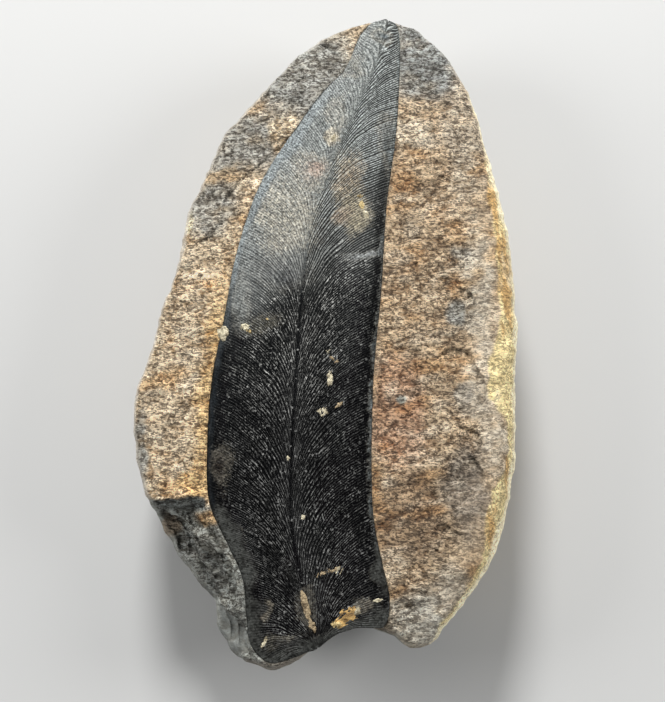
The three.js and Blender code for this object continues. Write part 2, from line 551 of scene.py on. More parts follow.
def rim_heights():
    width = RIM_LOOP[:, 2]
    return broken_face(RIM_LOOP[:, :2]) - rounding(0, width)


def stone_shape():
    """The smooth stone: points, triangles with the face's first, how many are the face's, the
    flat drawing that the points came from, which lie on the back, and their depth in from the rim."""
    face_points = stone_face_points()
    back_points = hex_grid(BACK_GAP)
    back_points = back_points[depth_inside(back_points, COARSE_RIM)[0] > 0.3]
    face_faces = triangles(RIM_LOOP, face_points)
    back_faces = triangles(RIM_LOOP, back_points)
    rim_count = len(RIM_LOOP)

    drawing = np.vstack([RIM_LOOP[:, :2], face_points])
    depth, place = depth_inside(drawing, RIM_LOOP)
    depth[:rim_count] = 0
    width = np.interp(place, np.arange(rim_count + 1), closed(RIM_LOOP)[:, 2])
    face = np.column_stack([drawing, broken_face(drawing) - rounding(depth, width)])

    near_rim = PATCH_CENTRE + radial_share(back_points)[1]
    _, place = distance_to(near_rim, closed(RIM_LOOP))
    heights = rim_heights()
    height = np.interp(place, np.arange(rim_count + 1), np.append(heights, heights[0]))
    back = back_surface(back_points, height)

    points = np.vstack([face, back])
    shifted = np.where(back_faces >= rim_count, back_faces + len(face_points), back_faces)
    faces = np.vstack([face_faces, shifted[:, ::-1]])
    drawing = np.vstack([drawing, back_points])
    on_back = np.arange(len(points)) >= len(face)
    return points, faces, len(face_faces), drawing, on_back, np.append(depth, np.full(len(back), -1.0))


def rgb(*levels):
    """A display colour, 0 to 255, as linear light."""
    c = np.array(levels) / 255
    return np.where(c <= 0.04045, c / 12.92, ((c + 0.055) / 1.055) ** 2.4)


GREY = rgb(136, 139, 138)
TAN = rgb(190, 174, 150)
ORANGE = rgb(198, 169, 122)
BROWN = rgb(168, 149, 124)
REDDISH = rgb(158, 128, 104)
UMBER = rgb(136, 116, 93)
LAVENDER = rgb(172, 163, 148)
OCHRE = rgb(206, 190, 144)
RUST = rgb(176, 140, 88)
CREAM = rgb(226, 218, 190)
BLUE_GREY = rgb(140, 143, 141)
SLATE = rgb(118, 120, 116)
PALE_SLATE = rgb(146, 148, 143)
DRAB = rgb(150, 136, 112)
GREY_DRAB = rgb(128, 122, 112)
SHADED_SOLE_GREY = rgb(106, 103, 97)
RIM_HIGHLIGHT_GREY = rgb(160, 155, 148)
RUSTY_SHIFT = np.array([0.98, 0.80, 0.58])

# Patches of colour on the bare face: x, y, half width, half height, colour, strength.
STONE_PATCHES = [
    (-4.0, 41.0, 9.0, 9.0, GREY, 0.85),
    (-14.0, 29.0, 8.0, 6.0, GREY, 0.8),
    (-18.5, 18.5, 4.5, 5.5, GREY, 0.75),
    (14.5, 44.0, 7.0, 9.0, GREY, 0.95),
    (14.0, 34.8, 5.0, 1.6, TAN, 0.6),
    (13.4, 30.6, 3.4, 3.6, rgb(196, 188, 172), 0.6),
    (21.5, 31.0, 3.6, 10.0, LAVENDER, 0.7),
    (12.0, 4.0, 5.0, 14.0, BROWN, 0.7),
    (10.5, -14.0, 5.0, 9.0, REDDISH, 0.9),
    (12.0, -29.0, 6.0, 7.0, UMBER, 0.95),
    (22.8, 6.0, 2.8, 11.0, LAVENDER, 0.9),
    (23.0, -9.0, 2.0, 6.0, LAVENDER, 0.7),
    (24.5, -17.5, 2.4, 4.5, LAVENDER, 0.8),
    (20.6, -25.0, 3.6, 8.0, rgb(126, 117, 106), 0.85),
    (19.7, 1.5, 1.5, 2.0, BLUE_GREY, 0.8),
    (20.2, -11.0, 1.6, 1.5, rgb(112, 114, 116), 0.8),
    (21.0, -11.6, 2.6, 2.6, LAVENDER, 0.6),
    (11.0, -12.1, 0.9, 0.7, rgb(120, 130, 130), 0.9),
    (20.4, 11.0, 1.4, 1.0, BLUE_GREY, 0.6),
    (13.5, -44.5, 5.2, 5.0, rgb(170, 165, 154), 0.97),
    (18.5, -39.5, 2.6, 3.4, LAVENDER, 0.7),
    (-19.6, -24.6, 2.8, 2.0, ORANGE, 0.8),
    (-27.9, -19.0, 1.2, 6.0, GREY, 0.8),
    (-21.6, 15.9, 1.1, 1.3, CREAM, 0.9),
    (-6.4, 30.0, 2.4, 4.0, rgb(206, 192, 168), 0.8),
    # A painted shadow in the notch at the bottom.
    (6.0, -46.4, 4.0, 1.4, rgb(84, 81, 76), 0.9),
]

# Patches on the broken corner and the lobe at the bottom.
BREAK_PATCHES = [
    (-22.4, -33.5, 5.0, 2.6, rgb(122, 123, 120), 0.75),
    (-17.6, -38.5, 2.6, 4.0, rgb(90, 91, 88), 0.7),
    (-23.6, -30.4, 1.8, 1.8, rgb(132, 118, 100), 0.8),
    (-21.0, -27.2, 5.0, 0.9, rgb(92, 96, 95), 0.8),
    (-17.5, -29.0, 1.8, 1.2, RUST, 0.7),
    (-14.6, -46.4, 3.6, 4.2, rgb(104, 106, 103), 0.9),
    (-17.0, -32.0, 3.4, 2.2, rgb(132, 132, 126), 0.7),
    (-10.0, -51.4, 5.0, 1.6, rgb(126, 121, 112), 0.9),
]


def painted(xy, colour, patches, seed):
    """Blends patches of colour into the colour of each point, with ragged edges."""
    ragged = np.stack([layered(xy, 3.0, 3, seed), layered(xy, 3.0, 3, seed + 9)], 1)
    for x, y, half_width, half_height, patch, strength in patches:
        half = np.array([half_width, half_height])
        local = (xy + ragged * np.minimum(half, 2) * 0.7 - np.array([x, y])) / half
        share = strength * (1 - smooth(0.6, 1.25, lengths(local)))
        colour = mix(colour, patch, share[:, None])
    return colour


def blend(first, second, share):
    """Two colours mixed at each point by that point's share of the second."""
    return mix(first, second, share[:, None])


def rind_tint(xy, rim_depth):
    """Ochre with rusty bands along the rim and a pale edge, a painted highlight along the rounded rim."""
    bands = streaks(xy, 96, 4.5, 1.1, 95)
    colour = blend(OCHRE, RUST, 0.85 * smooth(0.0, 0.5, bands + 0.5 * noise(xy, 5, 96)))
    colour = blend(colour, CREAM, 0.6 * smooth(0.1, 0.6, streaks(xy, 96, 3.0, 1.6, 94)))
    # Cream along the outer edge: painted highlight on the rounded rim.
    return blend(colour, CREAM, 0.85 * smooth(1.3, 0.5, rim_depth + 0.4 * noise(xy, 2.2, 97)))


def grainy_tint(xy):
    """The bare rock's colour: patches, then rusty, dusty and lighter streaks along the bedding."""
    colour = blend(TAN, BROWN, smooth(2, 8, xy[:, 0]))
    colour = painted(xy, colour, STONE_PATCHES, 81)
    rusty = smooth(0.05, 0.6, streaks(xy, 14, 1.6, 2.6, 88)) * smooth(46, 24, xy[:, 1])
    colour = blend(colour, colour * RUSTY_SHIFT, 0.8 * rusty)
    dusty = smooth(0.05, 0.6, streaks(xy, 14, 1.6, 2.0, 90))
    colour = blend(colour, LAVENDER * 1.15, 0.4 * dusty)
    return colour * (1 + 0.30 * streaks(xy, 18, 1.8, 1.9, 89))[:, None]


def face_tint(xy, rim_depth):
    """The split face's colour at each point, before its fine grain."""
    x, y = xy.T
    ribbon = smooth(3.4, 0.8, distance_to(xy, LEFT_EDGE)[0] + layered(xy, 2.0, 3, 87))
    ribbon *= smooth(-29, -24, y) * smooth(16, -4, y)
    colour = blend(grainy_tint(xy), ORANGE, 0.9 * ribbon)
    # The grey of the broken bottom edge, darkened with painted shade.
    shaded_sole = smooth(-45, -48, y) * smooth(9, 6, x)
    colour = blend(colour, SHADED_SOLE_GREY, 0.9 * shaded_sole)
    broken = smooth(-0.1, 0.3, plain_face(xy) - broken_corner(xy))
    broken = np.maximum(broken, smooth(-27, -28.5, y) * smooth(-6, -9, x))
    slate = blend(SLATE, PALE_SLATE, smooth(-0.4, 0.6, layered(xy, 3.0, 3, 91)))
    colour = blend(colour, painted(xy, slate, BREAK_PATCHES, 85), broken)
    # A pale grey strip along the rounded rim on the upper and left side: painted highlight where the edge
    # catches the light.
    rim_highlight = smooth(0.75, 0.35, rim_depth + 0.15 * noise(xy, 1.5, 93)) * (1 - broken)
    colour = blend(colour, RIM_HIGHLIGHT_GREY, 0.75 * rim_highlight * smooth(6, -2, x - 0.4 * y))
    rind = smooth(-0.25, 0.25, side_of(xy, RIND_LINE)[0] + 0.5 * layered(xy, 1.5, 3, 92))
    rind *= smooth(-49, -46, y) * smooth(46, 43, y)
    colour = blend(colour, rind_tint(xy, rim_depth), rind)
    # Painted shadow at the bottom of each flake edge and a painted highlight along its top.
    _, foot_shadow, brow_highlight = flake_edges(xy)
    return colour * (1 - 0.4 * foot_shadow + 0.3 * brow_highlight)[:, None]


def back_tint(points):
    """Side and back: ochre and rust-stained rind, greyer underneath and slate below the breaks."""
    x, y, z = points.T
    ochre = blend(OCHRE * 0.8, RUST * 0.8, smooth(-0.2, 0.6, layered(points, 5, 3, 99)))
    drab = blend(DRAB, GREY_DRAB, smooth(-0.3, 0.5, layered(points, 9, 3, 97)))
    colour = blend(drab, ochre, smooth(-0.1, 0.7, layered(points, 12, 2, 98) + 0.02 * x))
    left = smooth(-12, -20, x) * smooth(-20, 0, y)
    colour = blend(colour, LAVENDER, 0.6 * left * smooth(8, 16, z))
    low_end = smooth(-26, -36, y + 0.5 * x)
    return blend(colour, blend(SLATE, PALE_SLATE, smooth(0, 1, z / 20)), low_end)


def stone_object(material):
    points, faces, face_count, drawing, on_back, rim_depth = stone_shape()
    normals = vertex_normals(points, faces)
    leaf_depth, _ = depth_inside(drawing, LEAF_LOOP)
    relief = np.zeros(len(points))
    face_only = ~on_back
    relief[face_only] = face_relief(drawing[face_only], leaf_depth[face_only], rim_depth[face_only])
    skin = 0.26 * layered(points, 7, 3, 101) + 0.14 * layered(points, 1.3, 3, 103) - 0.22
    at_rim = smooth(0.0, 1.2, rim_depth)
    skin_part = np.where(on_back, 1 - smooth(0.6, 2.5, 3.0 - points[:, 2]), 1 - at_rim)
    relief = np.where(on_back, skin * skin_part, mix(skin, relief, at_rim))
    shaped = points + normals * relief[:, None]
    shaped[:, 2] = np.maximum(shaped[:, 2], 0)
    tint = back_tint(points)
    tint[face_only] = face_tint(drawing[face_only], rim_depth[face_only])
    corner_uv = corner_map(drawing, faces, STONE_MAP_SPAN)
    corner_uv[face_count * 3:, 0] += 0.5
    calm = np.full(len(points), 0.6)
    calm[face_only] = calmness(drawing[face_only], rim_depth[face_only])
    # Grain height, which sets the painted shade in the creases and the lighter painted lump tops in the
    # material.
    crease_shading = np.where(on_back, 0.2, mix(face_grain(drawing), 0.3, calm))
    looks = {"tint": tint, "crease_shading": crease_shading, "calm": calm}
    return make_mesh("stone", shaped, faces, corner_uv, looks, material)


# --- the leaf ---

LEAF_ROWS = 34
SAMPLES_PER_VEIN = 5
VEINS_PER_STEM = 4


def vein_net(side):
    """Where the film's grid points lie: one column along each line of the vein family.
    side is 1 for the left half of the blade and -1 for the right half."""
    margin = spline(LEFT_MARGIN if side == 1 else RIGHT_MARGIN, False)
    ends = LEFT_VEIN_ENDS if side == 1 else RIGHT_VEIN_ENDS
    midrib = spline(MIDRIB, False)
    stems = round(lengths_along(margin)[-1] / VEIN_GAP / VEINS_PER_STEM)
    count = stems * VEINS_PER_STEM * SAMPLES_PER_VEIN
    share = mix(0.004, 0.996, (np.arange(count) + 0.5) / count)
    finish = at_share(margin, share)

    midrib_share = lengths_along(midrib) / lengths_along(midrib)[-1]
    half_width = np.abs(finish[:, 0] - np.interp(finish[:, 1], midrib[:, 1], midrib[:, 0]))
    rise = (1.1 if side == 1 else 1.3) * half_width + 1.5
    start_y = np.maximum.accumulate(finish[:, 1] - rise * smooth(1.0, 0.92, share))
    start_share = np.interp(start_y, midrib[:, 1], midrib_share)
    first = np.argmax(start_y > midrib[0, 1])
    fan = np.clip((share[first] - share) / share[first], 0, 1)

    above = at_share(midrib, np.minimum(start_share + 0.01, 1))
    ahead = above - at_share(midrib, np.maximum(start_share - 0.01, 0))
    lean = np.degrees(np.arctan2(ahead[:, 1], ahead[:, 0]))
    sweep = fan * (95 if side == 1 else 75)
    centre = at_share(midrib, start_share)
    start = centre + MIDRIB_HALF_WIDTH * heading(lean + side * (90 + 0.6 * sweep))
    launch = heading(lean + side * (6 + sweep))
    end_angle = np.interp(share, *np.array(ends, float).T)
    arrive = heading(180 - end_angle) if side == 1 else heading(end_angle)
    return centre, start, finish, launch, arrive, share * stems


def bezier(start, finish, launch, arrive, t):
    """Curves from start to finish that leave and arrive in the given directions."""
    length = lengths(finish - start)[:, None]
    controls = [start, start + launch * length * 0.45, finish - arrive * length * 0.34, finish]
    t = t[None, :, None]
    weights = [(1 - t) ** 3, 3 * t * (1 - t) ** 2, 3 * t * t * (1 - t), t ** 3]
    return sum(w * c[:, None, :] for w, c in zip(weights, controls))


def vein_crest(stem, t):
    """How near each grid point is to the crest of a vein, from 0 in a furrow to 1 on a crest.
    Every stem forks twice on its way to the margin."""
    number = np.floor(stem).astype(np.int64)
    zero = np.zeros_like(number)
    part = stem - number + 0.06 * (lattice(np.stack([number, zero, zero + 2], 1), 207) - 0.5)
    first_fork = -0.15 + 0.25 * lattice(np.stack([number, zero, zero], 1), 201)
    upper = (part > 0.5).astype(np.int64)
    second_fork = 0.16 + 0.30 * lattice(np.stack([number, upper, zero], 1), 203)
    uneven = 0.06 * (lattice(np.stack([number, upper, zero + 1], 1), 205) - 0.5)
    spread1 = (0.25 + uneven)[:, None] * smooth(0, 1, (t[None] - first_fork[:, None]) / 0.25)
    spread2 = (0.125 + 0.6 * uneven)[:, None] * smooth(0, 1, (t[None] - second_fork[:, None]) / 0.30)
    away = np.abs(np.abs(part - 0.5)[:, None] - spread1)
    away = np.abs(away - spread2)
    half = 0.25 - 0.5 * spread1 - 0.5 * spread2
    crest = 0.5 + 0.5 * np.cos(math.pi * np.clip(away / (2 * half), 0, 1))
    return mix(0.5, crest, smooth(0.0, 0.06, t)[None])


def film_height(xy):
    return plain_face(xy) - LEAF_RECESS


RIB_DEPTH = 0.04
WALL_DEPTH = 0.9
VEIN_RELIEF = 0.085
PILLOW = 0.2


def film_sheet(start, finish, launch, arrive, crest, t):
    """The sheet between midrib and margin: its veins stand up and it swells gently between."""
    columns = len(start)
    bow = np.sin(math.pi * t)
    blade = bezier(start, finish, launch, arrive, t)
    xy = blade.reshape(-1, 2)
    wander = np.stack([layered(xy, 2.4, 3, 211), layered(xy, 2.4, 3, 212)], 1)
    blade = blade + 0.24 * wander.reshape(columns, -1, 2) * bow[None, :, None]
    xy = blade.reshape(-1, 2)
    height = film_height(xy).reshape(columns, -1)
    height += VEIN_RELIEF * (crest - 0.5) * (1 - 0.7 * smooth(0.7, 0.97, t)) + PILLOW * bow ** 0.9
    height += 0.05 * layered(xy, 1.6, 3, 213).reshape(columns, -1) * bow
    return np.concatenate([blade, height[:, :, None]], 2)


def half_leaf(side):
    """One half of the blade: a sheet from the midrib to the margin, and a wall down into the
    rock. Gives its faces, then the points, the flat drawing, the crests, the places along the
    veins and the shares of the way out."""
    centre, start, finish, launch, arrive, stem = vein_net(side)
    t = np.linspace(0, 1, LEAF_ROWS)
    crest = vein_crest(stem, t)
    top = film_sheet(start, finish, launch, arrive, crest, t)
    rib = np.column_stack([centre, film_height(centre) - RIB_DEPTH])[:, None]
    wall = top[:, -1:] - np.array([0, 0, WALL_DEPTH])
    grid = np.concatenate([rib, top, wall], 1)
    columns, rows = grid.shape[:2]
    crest = np.concatenate([np.full((columns, 1), 0.5), crest, crest[:, -1:]], 1)
    drawing = grid[:, :, :2].copy()
    drawing[:, -1] += WALL_DEPTH * arrive

    outer = np.tile(np.concatenate([[0], t, [1.1]]), (columns, 1))
    stray = 2.0 * noise(grid[:, :, :2].reshape(-1, 2), 1.3, 215).reshape(columns, rows)
    place = np.zeros((columns, rows, 3))
    place[:, :, 0] = (stem * VEINS_PER_STEM)[:, None] * 0.8 + stray
    place[:, :, 1] = outer * lengths(finish - start)[:, None] * 1.1
    place[:, :, 2] = 40 * side

    index = np.arange(columns * rows).reshape(columns, rows)
    a, b = index[:-1, :-1], index[1:, :-1]
    c, d = index[1:, 1:], index[:-1, 1:]
    quads = np.stack([a, b, c, d] if side == 1 else [a, d, c, b], -1).reshape(-1, 4)
    return quads, [
        grid.reshape(-1, 3), drawing.reshape(-1, 2), crest.ravel(), place.reshape(-1, 3), outer.ravel(),
    ]


BLACK = rgb(1, 1, 2)
COAL = rgb(10, 11, 12)
# Colours of the painted highlights on the vein crests.
HAIR_HIGHLIGHT = rgb(146, 146, 143)
PALE_HAIR_HIGHLIGHT = rgb(204, 204, 198)
# Colours of the painted bluish sheen along the left margin, dark low down and lighter higher up.
MARGIN_SHEEN_BLUE = rgb(30, 34, 37)
BAND_SHEEN_BLUE = rgb(124, 131, 133)
# Upper film colours: grey worn film with a painted sheen, and the lines on it as painted highlights.
LEFT_SHEEN_GREY = rgb(108, 112, 111)
LEFT_SHEEN_LINE = rgb(150, 153, 150)
RIGHT_SHEEN_GREY = rgb(52, 55, 54)
RIGHT_SHEEN_LINE = rgb(156, 161, 159)
SMOKE = rgb(46, 45, 42)
DUST = rgb(172, 166, 151)
EDGE_DUST = rgb(112, 119, 120)

# Worn and dusty places on the film, where the rock shows through: as STONE_PATCHES.
WORN_PATCHES = [
    (-6.6, 16.5, 8.5, 11.0, DUST, 0.5),
    (-3.2, 24.0, 5.0, 6.0, rgb(152, 146, 134), 0.5),
    (3.0, 22.5, 4.0, 8.0, rgb(146, 130, 108), 0.55),
    (4.6, 17.0, 3.8, 4.8, rgb(154, 145, 122), 0.6),
    (-2.5, 24.0, 2.6, 1.8, rgb(158, 140, 128), 0.7),
    (1.9, 16.6, 3.0, 1.6, rgb(150, 134, 118), 0.6),
    (0.8, 29.4, 1.6, 2.4, rgb(176, 166, 146), 0.75),
    (1.6, 33.0, 2.8, 5.5, rgb(144, 142, 134), 0.5),
    (3.8, 42.0, 3.0, 4.0, rgb(92, 94, 91), 0.6),
    (8.9, 47.6, 3.0, 2.6, rgb(80, 87, 90), 0.75),
    (9.6, 28.0, 2.6, 8.5, rgb(74, 79, 80), 0.6),
    (-13.0, 3.0, 2.6, 7.0, rgb(150, 154, 151), 0.42),
    (-9.4, -0.3, 5.0, 2.2, rgb(84, 82, 72), 0.42),
    (-7.0, 7.0, 8.0, 5.0, rgb(106, 109, 110), 0.35),
    (5.2, 10.5, 4.6, 1.1, rgb(186, 190, 190), 0.4),
    (8.3, 11.4, 1.3, 3.0, rgb(150, 158, 161), 0.45),
    (-9.6, -43.4, 2.2, 2.2, rgb(88, 79, 66), 0.6),
    (-15.8, -22.0, 2.2, 6.0, rgb(40, 33, 27), 0.45),
    (-7.0, -47.6, 6.0, 2.6, rgb(62, 60, 54), 0.5),
    (-3.0, -43.0, 2.2, 4.4, rgb(60, 58, 53), 0.45),
    (6.0, -42.6, 3.6, 2.6, rgb(80, 74, 64), 0.5),
]


def worn_rock(xy):
    """The colour of the rock under the film, and how far the film is worn off it."""
    worn = np.zeros(len(xy))
    rock = DUST
    ragged = 1.4 * np.stack([layered(xy, 3.5, 4, 305), layered(xy, 3.5, 4, 306)], 1)
    for x, y, half_width, half_height, colour, strength in WORN_PATCHES:
        half = np.array([half_width, half_height])
        local = (xy + ragged * np.minimum(half / 2, 1) - np.array([x, y])) / half
        share = 1 - smooth(0.0, 1.2, lengths(local))
        rock = blend(rock, colour, share)
        worn = np.maximum(worn, strength * smooth(0, 0.8, share))
    return rock, worn


def worn_edges(xy, rock, worn, left_depth, right_depth):
    """The same with the margins frayed near the base and the right margin dusty above."""
    y = xy[:, 1]
    fray = 1.5 * layered(xy, 2.2, 4, 309)
    frayed_left = smooth(3.4, 0.0, left_depth + fray) * smooth(-25, -29, y)
    frayed_right = smooth(2.4, 0.0, right_depth + fray) * smooth(-29, -35, y)
    frayed = np.maximum(frayed_left, 0.9 * frayed_right)
    rock = blend(rock, blend(SMOKE, SLATE * 0.28, frayed), smooth(0, 0.3, frayed))
    worn = np.maximum(worn, 0.75 * smooth(0, 0.8, frayed))
    dusted = smooth(0.9, 0.1, right_depth + 0.6 * layered(xy, 1.2, 3, 311)) * smooth(-36, -28, y)
    return blend(rock, EDGE_DUST, dusted), np.maximum(worn, 0.5 * dusted)


def leaf_tints(xy, outer):
    """The film's looks: its own colour with a painted sheen up top and along the left margin, its vein
    lines as painted highlights, painted shade in grooves, and the rock where the film is worn.
    """
    x, y = xy.T
    right = (x > np.interp(y, *np.array(MIDRIB).T[::-1])).astype(float)
    up = y - 0.5 * (x + 3) + 4 * layered(xy, 6, 4, 301) + 3 * layered(xy, 1.6, 3, 303)
    # The lower film runs from black to coal; the upper part is steel grey, partly worn film and partly
    # painted sheen.
    middle, top = smooth(-20, 4, up), smooth(2, 22, up)
    ground = blend(blend(BLACK, COAL, middle), blend(LEFT_SHEEN_GREY, RIGHT_SHEEN_GREY, right), top)
    # Colours of the vein lines: painted highlights on the crests.
    lines = blend(blend(HAIR_HIGHLIGHT, PALE_HAIR_HIGHLIGHT, middle), blend(LEFT_SHEEN_LINE, RIGHT_SHEEN_LINE, right), top)
    left_depth = distance_to(xy, LEFT_EDGE)[0]
    right_depth = distance_to(xy, RIGHT_EDGE)[0]
    rock, worn = worn_edges(xy, *worn_rock(xy), left_depth, right_depth)

    # A bluish strip along the left margin: painted sheen.
    band_width = mix(0.8, 1.7, smooth(12, 26, y)) * (1 + 0.3 * noise(xy, 4, 308))
    sheen_band = smooth(1.25, 0.6, left_depth / band_width + 0.2 * layered(xy, 1.2, 3, 307))
    sheen_band *= smooth(-30, -26, y) * smooth(40, 34, y)
    sheen_blue = blend(MARGIN_SHEEN_BLUE, BAND_SHEEN_BLUE, smooth(0, 16, up))
    # A darker strip just inside the right margin: painted shade of a groove.
    furrow = smooth(1.5, 0.9, np.abs(right_depth - 0.9) / 0.6) * smooth(-10, 0, y) * smooth(34, 26, y)
    fading = mix(0.75, 0.3, right) * smooth(0.68, 0.95, outer) * (1 - top)
    ground = blend(ground, sheen_blue, 0.85 * sheen_band) * (1 - 0.55 * furrow)[:, None]
    lines = blend(lines, sheen_blue * 1.12, 0.8 * sheen_band) * (1 - 0.6 * furrow)[:, None]
    return {
        "tint": ground, "highlight_tint": lines * (1 - fading)[:, None], "rock_tint": rock,
        "worn": worn * (1 - sheen_band), "sheen_and_wear_top": top, "furrow_shading": top * mix(0.35, 1.0, right),
    }


def leaf_object(material):
    left_quads, left = half_leaf(1)
    right_quads, right = half_leaf(-1)
    points, drawing, crest, place, outer = [np.concatenate(both) for both in zip(left, right)]
    quads = np.concatenate([left_quads, right_quads + len(left[0])])
    looks = leaf_tints(points[:, :2], outer) | {"crest": crest, "vein": place}
    return make_mesh("leaf_film", points, quads, corner_map(drawing, quads, LEAF_MAP_SPAN), looks, material)


# --- flecks of rock on the leaf ---

CHALK = rgb(206, 198, 172)
STRAW = rgb(206, 184, 132)
DUN = rgb(164, 146, 116)
AMBER = rgb(204, 168, 106)

# Each fleck: x, y, half length, half width, heading in degrees, thickness, colour.
FLECKS = [
    (-15.9, -1.8, 1.1, 0.95, 60, 0.22, CHALK),
    (-12.5, -0.9, 0.75, 0.5, 20, 0.16, CHALK),
    (-11.9, -1.5, 0.4, 0.3, 0, 0.12, STRAW),
    (-9.2, 0.2, 0.6, 0.4, 30, 0.14, STRAW),
    (-0.1, -4.7, 0.55, 0.45, 80, 0.16, CHALK),
    (0.5, -5.6, 0.6, 0.35, 110, 0.16, DUN),
    (1.3, -6.2, 0.5, 0.3, 20, 0.12, DUN),
    (0.3, -8.9, 1.5, 0.5, 95, 0.2, CHALK),
    (-0.7, -13.8, 0.8, 0.7, 30, 0.2, CHALK),
    (1.6, -12.8, 0.7, 0.35, 25, 0.14, DUN),
    (-5.9, -20.7, 0.32, 0.3, 0, 0.16, CHALK),
    (-3.6, -29.4, 0.42, 0.4, 0, 0.14, CHALK),
    (0.3, -37.3, 2.1, 0.95, 16, 0.14, DUN),
    (1.6, -37.4, 0.9, 0.8, 60, 0.14, CHALK),
    (-3.2, -42.2, 1.8, 0.6, 106, 0.12, DUN),
    (-2.2, -45.0, 1.2, 0.5, 110, 0.12, DUN),
    (2.9, -43.8, 2.1, 1.3, 28, 0.26, AMBER),
    (1.4, -44.8, 0.9, 0.5, 20, 0.24, STRAW),
    (4.0, -43.2, 1.0, 0.7, 40, 0.2, CHALK),
    (5.2, 18.4, 0.6, 0.5, 60, 0.16, STRAW),
    (4.9, 19.9, 0.5, 0.35, 20, 0.14, STRAW),
    (5.8, 17.0, 0.7, 0.4, 130, 0.14, CHALK),
    (0.9, 29.6, 0.7, 0.45, 60, 0.18, CHALK),
    (7.2, -41.4, 0.7, 0.25, 10, 0.14, CHALK),
    (-9.0, -47.2, 0.8, 0.25, 60, 0.14, CHALK),
]
FLECK_RINGS = 6
FLECK_SPOKES = 40


def one_fleck(spec, seed):
    """A low ragged crust on the film: points, triangles and colours."""
    x, y, half_length, half_width, towards, thickness, colour = spec
    turn = np.arange(FLECK_SPOKES) / FLECK_SPOKES * 2 * math.pi
    round_trip = np.stack([np.cos(turn), np.sin(turn), np.full(FLECK_SPOKES, seed * 3.7)], 1)
    ragged = np.clip(1.05 + 0.65 * layered(round_trip, 0.7, 4, 401), 0.4, 1.6)
    share = (np.arange(FLECK_RINGS) + 1) / FLECK_RINGS
    oval = np.stack([np.cos(turn) * half_length, np.sin(turn) * half_width], 1)
    local = (share[:, None] * ragged)[:, :, None] * oval
    local = np.vstack([np.zeros((1, 2)), local.reshape(-1, 2)])
    xy = np.array([x, y]) + local[:, :1] * heading(towards) + local[:, 1:] * heading(towards + 90)
    reach = np.append(0, np.repeat(share, FLECK_SPOKES))
    dome = thickness * (1 - reach ** 2) * (1 + 1.2 * noise(xy, 0.4, 403))
    top = np.column_stack([xy, film_height(xy) + 0.1 + dome])
    under = np.array([[x, y, film_height(np.array([[x, y]]))[0] - 0.6]])
    tint = np.tile(colour, (len(top) + 1, 1))
    dark = smooth(-0.1, 0.5, layered(closed(xy), 0.7, 3, 405))
    tint = blend(tint, tint * np.array([0.40, 0.37, 0.33]), dark)
    faces = []
    for ring in range(FLECK_RINGS):
        for spoke in range(FLECK_SPOKES):
            after = (spoke + 1) % FLECK_SPOKES
            outer, next_outer = 1 + ring * FLECK_SPOKES + spoke, 1 + ring * FLECK_SPOKES + after
            if ring == 0:
                faces.append((0, outer, next_outer))
            else:
                inner, next_inner = outer - FLECK_SPOKES, next_outer - FLECK_SPOKES
                faces += [(inner, outer, next_outer), (inner, next_outer, next_inner)]
            if ring == FLECK_RINGS - 1:
                faces.append((outer, len(top), next_outer))
    return np.vstack([top, under]), np.array(faces), tint


def flecks_object(material):
    points, faces, tints, base = [], [], [], 0
    for seed, spec in enumerate(FLECKS):
        fleck_points, fleck_faces, fleck_tint = one_fleck(spec, seed)
        points.append(fleck_points)
        faces.append(fleck_faces + base)
        tints.append(fleck_tint)
        base += len(fleck_points)
    points, faces = np.vstack(points), np.vstack(faces)
    corner_uv = corner_map(points[:, :2], faces, LEAF_MAP_SPAN)
    return make_mesh("matrix_flecks", points, faces, corner_uv, {"tint": np.vstack(tints)}, material)


# --- materials ---

class Nodes:
    """Shorthand for building a node material."""

    def __init__(self, name):
        self.material = bpy.data.materials.new(name)
        self.material.use_nodes = True
        self.tree = self.material.node_tree
        self.shader = self.tree.nodes["Principled BSDF"]

    def add(self, kind, inputs=None, **settings):
        node = self.tree.nodes.new("ShaderNode" + kind)
        for key, value in settings.items():
            setattr(node, key, value)
        for key, value in (inputs or {}).items():
            self.set(node.inputs[key], value)
        return node

    def set(self, socket, value):
        if isinstance(value, bpy.types.NodeSocket):
            self.tree.links.new(value, socket)
        else:
            socket.default_value = value

    def attribute(self, name, output="Fac"):
        return self.add("Attribute", attribute_name=name).outputs[output]

    def math(self, operation, a, b=0.0):
        return self.add("Math", {0: a, 1: b}, operation=operation).outputs[0]

    def times(self, a, b):
        return self.math("MULTIPLY", a, b)

    def ramp(self, value, low, high, out_low=0.0, out_high=1.0):
        inputs = {"Value": value, "From Min": low, "From Max": high, "To Min": out_low, "To Max": out_high}
        return self.add("MapRange", inputs, interpolation_type="SMOOTHSTEP").outputs[0]

    def mix(self, share, a, b, blend="MIX"):
        node = self.add("Mix", data_type="RGBA", blend_type=blend)
        self.set(node.inputs[0], share)
        self.set(node.inputs[6], a)
        self.set(node.inputs[7], b)
        return node.outputs[2]

    def tinted(self, a, b):
        return self.mix(1.0, a, b, "MULTIPLY")

    def place(self, stretch):
        where = self.add("TexCoord").outputs["Object"]
        return self.add("Mapping", {"Vector": where, "Scale": stretch}).outputs[0]

    def noise(self, where, per_mm, detail, rough, unit=MM):
        """Noise whose places are in metres, or in the unit given."""
        inputs = {"Vector": where, "Scale": per_mm / unit, "Detail": detail, "Roughness": rough}
        return self.add("TexNoise", inputs).outputs["Fac"]

    def facets(self, where, per_mm):
        """A random value for each of many small grains."""
        node = self.add("TexVoronoi", {"Vector": where, "Scale": per_mm / MM})
        return self.add("SeparateColor", {"Color": node.outputs["Color"]}).outputs[0]

    def surface(self, colour, roughness):
        self.set(self.shader.inputs["Base Color"], colour)
        self.set(self.shader.inputs["Roughness"], roughness)

    def bump(self, height, strength, distance_mm):
        inputs = {"Height": height, "Strength": strength, "Distance": distance_mm * MM}
        self.set(self.shader.inputs["Normal"], self.add("Bump", inputs).outputs[0])


